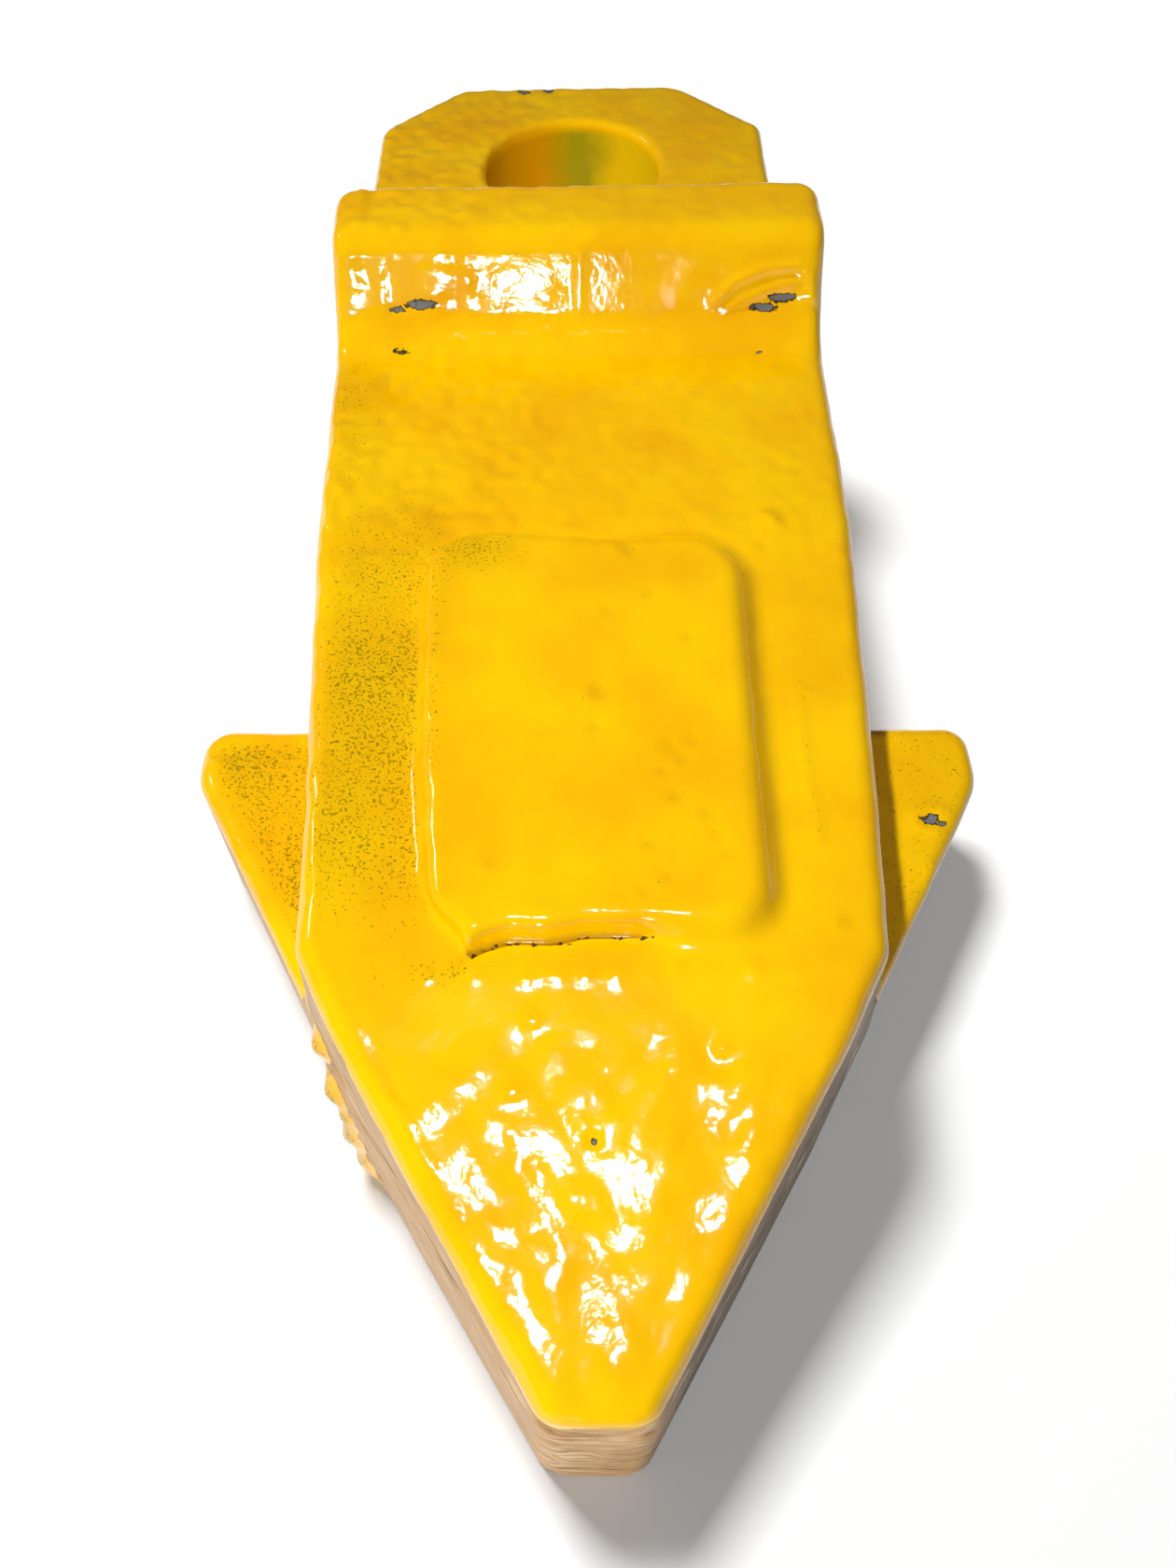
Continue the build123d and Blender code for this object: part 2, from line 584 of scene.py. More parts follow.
@dataclass(frozen=True)
class Ridge:
    """A raised or sunk line on the surface: the places that it passes, its half width and how far
    it stands out."""

    path: tuple[tuple[float, float, float], ...]
    half: float
    rise: float

    def weight(self, points: np.ndarray) -> np.ndarray:
        """Bell curve of the distance from the nearest of the line's straight pieces."""
        path = np.array(self.path)
        best = np.full(len(points), np.inf)
        for start, end in zip(path, path[1:]):
            run = end - start
            share = np.clip((points - start) @ run / (run @ run), 0.0, 1.0)
            away = points - start - share[:, None] * run
            best = np.minimum(best, (away ** 2).sum(1))
        return np.exp(-best / self.half ** 2)


@dataclass
class PaintRelief:
    """How thick paint, cast skin and wear move the surface along its normal, in millimetres."""

    cast: CastForm
    pad: PadForm
    broad: LatticeNoise = field(default_factory=lambda: LatticeNoise(11))
    fine: LatticeNoise = field(default_factory=lambda: LatticeNoise(23))
    stroke: LatticeNoise = field(default_factory=lambda: LatticeNoise(37))
    swell: float = 0.10
    ripple: float = 0.045
    hammer: float = 0.34
    brush_ridge: float = 0.13
    nose_lump: float = 0.24
    nose_swell: float = 0.12
    parting_line: float = 0.28
    chip_depth: float = 0.2
    scallop_depth: float = 0.45
    edge_line: float = 0.22
    paint_overlap: float = 3.3
    shoulder: float = 58.0

    @cached_property
    def pits(self) -> list[Spot]:
        """Pin holes and craters in the paint of the pad, the deck and the nose."""
        deck = self.cast.deck_height
        listed = ((2.1, 94.0, 1.5, -0.6), (0.2, 92.4, 0.9, 0.3), (1.3, 87.4, 1.0, -0.45),
                  (3.9, 108.8, 0.9, -0.4), (8.5, 67.7, 0.9, -0.4), (11.8, 83.7, 1.0, -0.35),
                  (13.4, 81.6, 0.9, -0.4), (14.9, 85.0, 1.0, -0.35), (16.3, 72.8, 1.0, -0.45),
                  (12.3, 75.6, 1.0, -0.4), (17.4, 69.3, 0.9, -0.35), (15.5, 104.0, 1.0, -0.35),
                  (10.4, 79.6, 0.8, -0.3), (18.6, 66.0, 0.8, -0.3), (9.4, 61.9, 0.9, 0.35),
                  (6.2, 60.2, 0.8, 0.3), (-14.2, 64.0, 1.0, 0.35), (4.5, 122.4, 1.0, 0.4),
                  (7.4, 121.6, 1.1, -0.4), (10.2, 112.5, 0.9, -0.35), (-20.6, 60.4, 1.1, 0.4))
        return [Spot(x, y, float(deck(y)) + self.pad.height, half, half, rise)
                for x, y, half, rise in listed] + [
            Spot(-0.2, 30.8, 42.5, 0.8, 0.8, -0.5), Spot(30.4, 132.0, 52.0, 1.4, 1.2, 0.7),
            Spot(31.6, 130.2, 52.0, 1.0, 0.9, 0.6), Spot(-7.8, 45.0, 46.8, 1.0, 1.0, 0.35),
            Spot(-10.6, 36.4, 44.2, 1.0, 1.0, 0.35), Spot(-60.9, 99.6, 27.9, 1.3, 1.2, 0.7),
            Spot(-58.8, 101.0, 27.9, 1.0, 1.0, -0.5), Spot(16.4, 41.5, 45.8, 0.9, 0.9, 0.35),
            Spot(29.0, 125.6, 51.8, 0.9, 0.9, -0.3), Spot(33.0, 57.5, 49.2, 0.9, 0.9, 0.3),
        ]

    @cached_property
    def crease_beads(self) -> list[Spot]:
        """Beads of paint in a row on the crease between nose and deck."""
        listed = ((-21.5, 0.9), (-18.6, 0.8), (-15.8, 1.5), (-12.4, 0.7), (-9.0, 1.3), (-6.4, 1.0),
                  (-4.4, 1.1), (-1.0, 1.3), (3.1, 1.5), (7.4, 0.7), (11.0, 1.0), (15.2, 0.7),
                  (21.0, 1.3), (26.2, 0.8))
        return [Spot(x, self.cast.crease + 0.5 * math.sin(3.0 * x), 48.4, half, 0.75 * half + 0.2,
                     0.2 * half + 0.06) for x, half in listed]

    @cached_property
    def ridges(self) -> list[Ridge]:
        """Brush lines, runs and wrinkles in the paint."""
        deck = self.cast.deck_height
        return [
            Ridge(((34.4, 95.2, 50.6), (31.8, 97.4, 50.7), (31.5, 84.0, 50.1), (31.9, 69.7, 49.5)),
                  0.55, 0.20),
            Ridge(((25.0, 181.8, 58.2), (28.6, 183.3, 61.6), (34.2, 184.2, 63.6),
                   (39.8, 184.4, 64.0), (42.3, 183.6, 62.2), (43.2, 181.9, 58.4)), 0.8, 0.45),
            Ridge(((27.0, 181.0, 56.8), (33.0, 182.4, 59.8), (40.0, 183.3, 61.4)), 0.7, 0.3),
            Ridge(((51.9, 88.9, 27.9), (54.1, 90.4, 27.9), (56.6, 89.7, 27.9)), 0.7, 0.4),
            Ridge(((51.6, 87.4, 27.9), (53.5, 86.0, 27.9), (55.8, 85.8, 27.9)), 0.7, 0.3),
            Ridge(((53.2, 79.6, 27.6), (52.2, 75.6, 27.7), (50.4, 72.2, 27.7), (48.9, 69.6, 27.6)),
                  0.9, 0.5),
            Ridge(((-20.5, 61.6, float(deck(61.6))), (-19.4, 58.6, 49.1), (-17.3, 56.4, 49.0)),
                  0.8, 0.45),
            self.lip_groove,
        ]

    @cached_property
    def lip_groove(self) -> Ridge:
        """The sharp groove under the lip of paint at the pad's front. In the masks, its line also
        gets the chips' dark rim colour as a painted shadow.
        """
        return Ridge(((-17.1, 50.7, 48.8), (-15.4, 53.3, 48.9), (-11.0, 55.0, 48.9),
                      (-6.0, 54.7, 48.9), (-1.0, 55.6, 48.9), (7.0, 55.6, 48.9),
                      (17.0, 55.7, 48.9), (21.0, 57.0, 49.0)), 0.7, -0.6)

    @cached_property
    def blobs(self) -> list[Spot]:
        """Gobs of paint that ran down the left wall and dried on it."""
        return [Spot(-37.9, 49.4, 29.5, 2.2, 2.2, 2.0), Spot(-36.0, 45.6, 23.0, 2.6, 2.6, 2.2),
                Spot(-34.6, 43.6, 18.6, 2.0, 2.2, 1.6), Spot(-34.6, 43.8, 12.0, 2.4, 3.0, 2.3),
                Spot(-33.4, 42.2, 5.5, 2.2, 2.8, 1.8), Spot(-32.4, 41.0, 1.6, 2.0, 2.0, 1.0)]

    @cached_property
    def chips(self) -> list[Spot]:
        """Places where the paint has come off to the grey casting."""
        return [Spot(-29.0, 182.0, 58.3, 3.9, 1.1), Spot(-33.5, 181.6, 57.6, 2.0, 0.6),
                Spot(34.0, 181.3, 57.2, 2.8, 1.0), Spot(37.4, 182.0, 58.7, 2.9, 1.2),
                Spot(-33.1, 176.1, 52.0, 2.4, 0.8), Spot(-30.9, 176.4, 52.0, 1.4, 0.5),
                Spot(54.6, 88.0, 27.9, 1.9, 1.1), Spot(56.2, 87.4, 27.9, 1.1, 0.7),
                Spot(-11.4, 271.6, 51.6, 1.9, 1.1), Spot(-5.6, 272.0, 51.6, 1.4, 1.5),
                Spot(16.2, 204.0, 69.3, 1.6, 0.7), Spot(-0.2, 30.8, 42.5, 0.55, 0.55),
                Spot(32.9, 174.7, 52.0, 0.9, 0.5)]

    def nose_waves(self, points: np.ndarray) -> np.ndarray:
        """Lumps and brush ridges on the nose.

        Two sets of ridges, each drawn out along one edge of the nose, give way to each other right
        of the middle. Round lumps lie under both.

        Args:
            points: places on the smooth casting.

        Returns:
            Millimetres outwards along the normal.
        """
        x, y, z = points.T
        slope = math.radians(self.cast.nose_wall_angle)
        sides = []
        for sign in (-1.0, 1.0):
            across = sign * x * math.cos(slope) - y * math.sin(slope)
            along = sign * x * math.sin(slope) + y * math.cos(slope)
            drawn_out = np.stack([across, along * 0.42, z * 0.2 + sign * 9.0], 1)
            sides.append(self.stroke(drawn_out, 2.0))
        right = smoothstep(x + 0.15 * y, 6.0, 13.0)
        strokes = sides[0] * (1.0 - right) + sides[1] * right
        return (strokes * self.brush_ridge + self.broad(points, 4.2) * self.nose_lump
                + self.broad(points + 40.0, 8.0) * self.nose_swell)

    def heights(self, points: np.ndarray, normals: np.ndarray) -> np.ndarray:
        """Displacement at each point.

        Long low waves lie everywhere. The nose adds high ones, the level faces behind the pad a
        hammered skin, the rib's front face upright wrinkles and a parting line, the edges small
        knocks, and each spot and ridge a bell-shaped rise or pit. All of it fades out towards the
        base, so that the tooth stands flat.

        Args:
            points: places on the smooth casting.
            normals: outward unit normals there.

        Returns:
            Millimetres outwards along the normal.
        """
        x, y, z = points.T
        flat = smoothstep(normals[:, 2], 0.75, 0.97)
        painted = 1.0 - self.bareness(points, normals)
        total = self.broad(points, 9.0) * self.swell + self.fine(points, 3.6) * self.ripple
        hammered = smoothstep(y, 108.0, 135.0) * flat * (0.4 + 0.6 * smoothstep(-x, -10.0, 25.0))
        total += self.stroke(points, 2.0) * self.hammer * hammered
        nose = smoothstep(-y, -self.cast.crease + 1.0, -self.cast.crease + 16.0) * flat
        total += nose * self.nose_waves(points)
        total += self.edge_relief(points, normals)
        pad_lip = np.exp(-(self.pad.side(x, y) / 1.1) ** 2) * flat * smoothstep(y, 110.0, 122.0)
        total += pad_lip * self.fine(points, 2.0) * 0.35
        rib_middle = self.on_rib_face(points, normals) * smoothstep(x, -24.0, -18.0)
        total *= (0.35 + 0.65 * painted) * (1.0 - 0.65 * rib_middle)
        total += self.rib_relief(points, normals)
        for mark in self.pits + self.crease_beads + self.blobs + self.ridges:
            total += mark.rise * mark.weight(points)
        for chip in self.chips:
            total -= self.chip_depth * smoothstep(chip.weight(points), 0.3, 0.6)
        scallop = np.stack([x * 0.28, y * 0.3, z], 1)
        tip = smoothstep(-y, -3.5, -1.0) * (1.0 - painted)
        total -= tip * self.scallop_depth * smoothstep(self.stroke(scallop, 1.7), 0.05, 0.6)
        return total * smoothstep(z, 0.3, 3.0)

    def on_rib_face(self, points: np.ndarray, normals: np.ndarray) -> np.ndarray:
        """1 on the rib's front face and 0 elsewhere."""
        _, y, z = points.T
        return smoothstep(-normals[:, 1], 0.55, 0.9) * (y > 170.0) * (z > 53.0)

    def rib_relief(self, points: np.ndarray, normals: np.ndarray) -> np.ndarray:
        """Upright wrinkles on the rib's front face, stronger at the left, and the raised parting
        line."""
        x, y, z = points.T
        face = self.on_rib_face(points, normals)
        wrinkles = np.stack([x, y * 0.15, z * 0.22], 1)
        outer = smoothstep(-x, 14.0, 24.0)
        waves = self.stroke(wrinkles, 2.0) * (0.012 + 0.13 * outer)
        waves += self.broad(points, 4.0) * 0.045
        return face * (waves + np.exp(-((x - 0.2) / 0.5) ** 2) * self.parting_line)

    def edge_relief(self, points: np.ndarray, normals: np.ndarray) -> np.ndarray:
        """Knocks along the upper edges, and the brush line that follows the left edge inside it."""
        x, y, z = points.T
        edge = (1.0 - smoothstep(np.abs(normals[:, 2]), 0.80, 0.98)) * smoothstep(
            normals[:, 2], 0.05, 0.35) * smoothstep(z, 20.0, 26.0)
        knocks = edge * (self.broad(points, 4.6) * 0.18 + self.fine(points, 2.4) * 0.08)
        knocks *= 1.0 - 0.6 * smoothstep(x, -5.0, 15.0)
        inside = self.cast.body_side(x, y) + 2.9 + 0.6 * self.fine(points, 5.0)
        line = np.exp(-(inside / 0.55) ** 2) * smoothstep(-x, 10.0, 20.0) * smoothstep(
            y, 22.0, 30.0) * (1.0 - smoothstep(y, 82.0, 92.0)) * smoothstep(normals[:, 2], 0.4, 0.8)
        return knocks + line * self.edge_line

    def paint_edge(self, x: np.ndarray, y: np.ndarray) -> np.ndarray:
        """Height on the nose and flank walls where the paint ends, a few mm below their tops. The
        nose wall passes into the lower barb flank at the shoulder."""
        nose_top = np.minimum(
            self.cast.web_height - self.cast.deck_drop
            - self.cast.nose_drop * np.clip(1 - y / self.cast.crease, 0.0, 1.0), 49.0)
        top = np.where(y < self.shoulder, nose_top, self.cast.blade_height)
        return top - self.paint_overlap

    def bareness(self, points: np.ndarray, normals: np.ndarray) -> np.ndarray:
        """1 on the ground walls of nose and barbs, below the paint's edge, and 0 on paint."""
        return smoothstep(self.bare_depth(points, normals), -0.3, 0.3)

    def bare_depth(self, points: np.ndarray, normals: np.ndarray) -> np.ndarray:
        """How many millimetres a point lies below the paint's edge, or above it if negative, with
        3 at most either way."""
        x, y, z = points.T
        ragged = self.broad(points * (1.0, 1.0, 0.3), 6.0) * 0.9 + self.fine(
            points * (1.0, 1.0, 0.3), 2.2) * 0.5
        depth = np.clip(self.paint_edge(x, y) + ragged - z, -3.0, 3.0)
        on_wall = (normals[:, 1] < 0.2) & (y < self.cast.barb_side + 4.0) & (
            np.abs(self.cast.blade_side(x, y)) < 2.5)
        depth = np.where(on_wall, depth, np.where(z < 0.4, 1.0, -3.0))
        cover = smoothstep(self.blob_cover(points), 0.08, 0.25)
        return depth * (1 - cover) - 3.0 * cover

    def blob_cover(self, points: np.ndarray) -> np.ndarray:
        """The highest of the blobs' weights."""
        return np.maximum.reduce([blob.weight(points) for blob in self.blobs])

    def dryness(self, points: np.ndarray, normals: np.ndarray) -> np.ndarray:
        """Density of the dull green overspray: left of the deck, the left barb, a pad corner."""
        x, y, z = points.T
        cloud = self.broad(points, 13.0) * 0.35
        deck = (smoothstep(x, -43.5, -36.0) * (1 - smoothstep(x, -25.0, -19.5))
                * smoothstep(y, 50.0, 72.0) * (1 - smoothstep(y, 112.0, 150.0)))
        corner = np.exp(-((x + 18.0) ** 2 / 50.0 + (y - 121.5) ** 2 / 22.0))
        wing = (x < -40.0) * (z < 32.0) * (z > 24.0) * smoothstep(
            -self.cast.blade_side(x, y), 1.5, 6.0) * (y < 106.0)
        crease = 0.9 * np.exp(-((x + 21.0) ** 2 / 40.0 + (y - 50.5) ** 2 / 5.0))
        left_web = 0.45 * (1 - smoothstep(x, -41.0, -30.0)) * smoothstep(y, 130.0, 150.0) * (
            1 - smoothstep(y, 165.0, 180.0))
        right_wing = 0.35 * (x > 42.0) * (z < 32.0) * (z > 24.0)
        drips = smoothstep(self.blob_cover(points), 0.3, 0.7)
        craters = np.maximum.reduce([0.35 * pit.weight(points) for pit in self.pits])
        scratch = 0.3 * self.ridges[0].weight(points)
        made = np.maximum.reduce([deck * 0.9, corner, wing * 1.0, crease, left_web, right_wing])
        made = made * smoothstep(normals[:, 2], 0.6, 0.95) * (0.85 + cloud)
        return np.clip(np.maximum.reduce([made, drips, craters, scratch]), 0.0, 1.0)

    def masks(self, points: np.ndarray, normals: np.ndarray) -> dict[Mask, np.ndarray]:
        """Every finish's mask at each point."""
        x, y, z = points.T
        # Painted shadow: half of the lip groove's weight joins the chips' mask, so the chips' dark
        # rim colour draws a shadow line under the pad's lip.
        chips = np.maximum.reduce([chip.weight(points) for chip in self.chips]
                                  + [0.5 * self.lip_groove.weight(points)])
        in_eye = (np.hypot(x, y - self.cast.eye_station) < self.cast.eye_radius + 1.2) * (
            1 - smoothstep(z, 48.5, 51.0))
        along = x + np.sign(x) * y * 0.65
        return {Mask.BARE: self.bare_depth(points, normals), Mask.CHIP_AND_GROOVE_SHADOW: chips,
                Mask.DRY: self.dryness(points, normals), Mask.THIN: in_eye, Mask.ALONG: along}


@dataclass
class ToothCasting:
    """The whole tooth as one mesh, with its paint's waves, lips, pits and blobs."""

    cast: CastForm = field(default_factory=CastForm)
    spacing: float = 0.85
    wall_spacing: float = 2.0
    name: str = "enamelled_tooth"

    @cached_property
    def pad(self) -> PadForm:
        """The raised panel."""
        return PadForm(self.cast)

    @cached_property
    def relief(self) -> PaintRelief:
        """The paint's relief."""
        return PaintRelief(self.cast, self.pad)

    def distance(self, points: np.ndarray) -> np.ndarray:
        """Signed distance of the painted casting at points of shape (n, 3)."""
        x, y, z = points.T
        return self.level(x, y, z)

    def level(self, x: np.ndarray, y: np.ndarray, z: np.ndarray) -> np.ndarray:
        """Signed distance of casting and pad together."""
        return round_join(self.cast.distance(x, y, z), self.pad.distance(x, y, z),
                          self.pad.root_radius(x, y))

    def grid_axes(self) -> tuple[np.ndarray, np.ndarray, np.ndarray]:
        """Grid lines that take in the whole casting, wider apart on the lower walls."""
        reach = 66.0
        low = np.arange(-1.45, 20.0, self.wall_spacing)
        return (np.arange(-reach, reach + 0.1, self.spacing),
                np.arange(-2.4, self.cast.length + 2.5, self.spacing),
                np.concatenate([low, np.arange(low[-1] + self.spacing, 72.5, self.spacing)]))

    def mesh_arrays(self) -> tuple[np.ndarray, np.ndarray, np.ndarray]:
        """Vertices on the surface, their normals and the faces.

        Returns:
            Places in millimetres, outward unit normals, and four vertex numbers for each face.
        """
        axes = self.grid_axes()
        x, y, z = axes[0][:, None, None], axes[1][None, :, None], axes[2][None, None, :]
        values = self.level(x, y, z)
        mesher = NetMesher(axes)
        points, number = mesher.cells(values)
        quads = mesher.faces(values, number)
        edges = np.concatenate([quads[:, [k, (k + 1) % 4]] for k in range(4)])
        count = np.bincount(edges[:, 0], minlength=len(points))[:, None]
        for _ in range(2):
            near = np.stack([np.bincount(edges[:, 0], points[edges[:, 1], k], len(points))
                             for k in range(3)], 1) / count
            points = points + 0.5 * (near - points)
            for _ in range(2):
                normal = gradient(self.distance, points)
                points = points - normal * self.distance(points)[:, None]
        return points, gradient(self.distance, points), quads

    def build(self) -> bpy.types.Object:
        """Makes the mesh and its attributes."""
        points, normals, quads = self.mesh_arrays()
        masks = self.relief.masks(points, normals)
        points = points + normals * self.relief.heights(points, normals)[:, None]
        points[:, 2] = np.where(points[:, 2] < 0.02, 0.0, points[:, 2])
        mesh = bpy.data.meshes.new(self.name)
        places = points.copy()
        places[:, 1] -= self.cast.length / 2
        mesh.vertices.add(len(places))
        mesh.vertices.foreach_set("co", (places * MM).astype(np.float32).ravel())
        mesh.loops.add(quads.size)
        mesh.loops.foreach_set("vertex_index", quads.astype(np.int32).ravel())
        mesh.polygons.add(len(quads))
        mesh.polygons.foreach_set("loop_start", np.arange(0, quads.size, 4, dtype=np.int32))
        mesh.polygons.foreach_set("use_smooth", np.ones(len(quads), bool))
        mesh.update(calc_edges=True)
        for mask, values in masks.items():
            layer = mesh.attributes.new(mask.value, "FLOAT", "POINT")
            layer.data.foreach_set("value", values.astype(np.float32))
        tooth = bpy.data.objects.new(self.name, mesh)
        bpy.context.scene.collection.objects.link(tooth)
        self.flatten_base(mesh)
        log.info("%s: %d vertices, %d faces", self.name, len(mesh.vertices), len(mesh.polygons))
        return tooth

    def flatten_base(self, mesh: bpy.types.Mesh) -> None:
        """Merges the level faces of the base, which need no detail, into a few large ones."""
        net = bmesh.new()
        net.from_mesh(mesh)
        level = [v for v in net.verts if v.co.z < 1e-6 and all(
            e.other_vert(v).co.z < 1e-6 for e in v.link_edges)]
        kept = set(level)
        bmesh.ops.dissolve_limit(
            net, angle_limit=math.radians(1.0), use_dissolve_boundaries=False,
            verts=level, edges=[e for e in net.edges if kept.issuperset(e.verts)])
        bmesh.ops.triangulate(net, faces=[f for f in net.faces if len(f.verts) > 4])
        net.to_mesh(mesh)
        net.free()

    def dress(self, tooth: bpy.types.Object) -> None:
        """Gives the tooth its finish."""
        tooth.data.materials.append(CoatedCasting().material())


# Finishes


def linear(hex_colour: str) -> tuple[float, float, float, float]:
    """Linear RGBA of an sRGB hex colour."""
    parts = [int(hex_colour[k:k + 2], 16) / 255 for k in (1, 3, 5)]
    return (*[p / 12.92 if p <= 0.04045 else ((p + 0.055) / 1.055) ** 2.4 for p in parts], 1.0)


def add_node(tree: bpy.types.NodeTree, kind: str, settings: dict | None = None,
             links: dict | None = None, out: int | str = 0) -> bpy.types.NodeSocket | None:
    """Adds a node to a tree, with its settings and the links into it.

    Args:
        tree: the node tree.
        kind: the node's type name without its ShaderNode prefix.
        settings: node properties by name, and socket values by name or number. A hex colour is
            turned linear.
        links: the socket that feeds each input, by the input's name or number.
        out: which of the node's outputs is wanted.

    Returns:
        That output, or None from a node that has none.
    """
    node = tree.nodes.new("ShaderNode" + kind)
    for key, value in (settings or {}).items():
        if isinstance(value, str) and value.startswith("#"):
            value = linear(value)
        if isinstance(key, str) and hasattr(node, key):
            setattr(node, key, value)
        else:
            node.inputs[key].default_value = value
    for key, source in (links or {}).items():
        tree.links.new(source, node.inputs[key])
    return node.outputs[out] if node.outputs else None


@dataclass(frozen=True)
class GlossEnamel:
    """Alkyd gloss enamel in thick brushed coats: a wet, saturated yellow that mirrors the lamps
    sharply, a little deeper where it lies thick, and green where it is thin in the eye. There,
    painted shade makes the eye's left brown and painted light makes its right a brighter yellow."""

    colour: str = "#FFC800"
    deep: str = "#F8B700"
    # eye_left is darkened to brown as painted shade, eye_right is brightened as painted light, and
    # eye_middle is the green of thin paint.
    eye_left: str = "#DA9C04"
    eye_middle: str = "#A8A012"
    eye_right: str = "#F0CC0C"
    roughness: float = 0.10
    peel_mm: float = 1.5
    peel_depth_mm: float = 0.05
    blotch_mm: float = 16.0
    eye_cloud_mm: float = 7.0
    eye_wander_mm: float = 6.0

    def shade(self, tree: bpy.types.NodeTree, place: bpy.types.NodeSocket,
              in_eye: bpy.types.NodeSocket) -> bpy.types.NodeSocket:
        """Yellow in two tones, and inside the eye three tones from its left to its right: greenish
        thin paint, with painted shade on the brown left and painted light on the yellow right.
        """
        blotch = add_node(tree, "TexNoise", {"Scale": 1 / (self.blotch_mm * MM), "Detail": 4.0},
                          {"Vector": place})
        share = add_node(tree, "MapRange", {"From Min": 0.40, "From Max": 0.66}, {"Value": blotch})
        yellow = add_node(tree, "Mix", {"data_type": "RGBA", 6: self.colour, 7: self.deep},
                          {0: share}, 2)
        side = add_node(tree, "SeparateXYZ", links={0: place})
        cloudy = add_node(tree, "TexNoise", {"Scale": 1 / (self.eye_cloud_mm * MM)},
                          {"Vector": place})
        side = add_node(tree, "Math", {"operation": "MULTIPLY_ADD", 1: self.eye_wander_mm * MM},
                        {0: cloudy, 2: side})
        share = add_node(tree, "MapRange", {"From Min": -5.0 * MM, "From Max": 3.0 * MM},
                         {"Value": side})
        eye = add_node(tree, "Mix", {"data_type": "RGBA", 6: self.eye_left, 7: self.eye_middle},
                       {0: share}, 2)
        share = add_node(tree, "MapRange", {"From Min": 6.0 * MM, "From Max": 13.0 * MM},
                         {"Value": side})
        eye = add_node(tree, "Mix", {"data_type": "RGBA", 7: self.eye_right}, {0: share, 6: eye}, 2)
        return add_node(tree, "Mix", {"data_type": "RGBA"}, {0: in_eye, 6: yellow, 7: eye}, 2)

    def peel(self, tree: bpy.types.NodeTree, place: bpy.types.NodeSocket) -> bpy.types.NodeSocket:
        """Height of the orange peel in millimetres."""
        lumps = add_node(tree, "TexNoise", {"Scale": 1 / (self.peel_mm * MM), "Detail": 2.0},
                         {"Vector": place})
        return add_node(tree, "Math", {"operation": "MULTIPLY", 1: self.peel_depth_mm}, {0: lumps})


@dataclass(frozen=True)
class DrySpray:
    """Dust of half-dried spray paint and green primer: matt olive specks and a faint olive cast
    over the enamel."""

    colour: str = "#6E6200"
    haze: str = "#B89A00"
    speck_mm: float = 0.42
    haze_share: float = 0.36
    speck_share: float = 0.7

    def specks(self, tree: bpy.types.NodeTree, place: bpy.types.NodeSocket,
               density: bpy.types.NodeSocket) -> bpy.types.NodeSocket:
        """1 on a speck and 0 beside it: more of them where the mask is higher."""
        grain = add_node(tree, "TexNoise", {"Scale": 1 / (self.speck_mm * MM), "Detail": 1.0},
                         {"Vector": place})
        raised = add_node(tree, "Math", {"operation": "MULTIPLY_ADD", 1: 0.17},
                          {0: density, 2: grain})
        found = add_node(tree, "MapRange", {"From Min": 0.715, "From Max": 0.775},
                         {"Value": raised})
        dusty = add_node(tree, "MapRange", {"From Min": 0.03, "From Max": 0.2}, {"Value": density})
        return add_node(tree, "Math", {"operation": "MULTIPLY"}, {0: found, 1: dusty})

    def shade(self, tree: bpy.types.NodeTree, under: bpy.types.NodeSocket,
              density: bpy.types.NodeSocket, specks: bpy.types.NodeSocket) -> bpy.types.NodeSocket:
        """The colour under it, with the olive cast and the specks."""
        cast = add_node(tree, "Math", {"operation": "MULTIPLY", 1: self.haze_share},
                        {0: density})
        hazed = add_node(tree, "Mix", {"data_type": "RGBA", 7: self.haze}, {0: cast, 6: under}, 2)
        share = add_node(tree, "Math", {"operation": "MULTIPLY", 1: self.speck_share},
                         {0: specks})
        return add_node(tree, "Mix", {"data_type": "RGBA", 7: self.colour}, {0: share, 6: hazed}, 2)


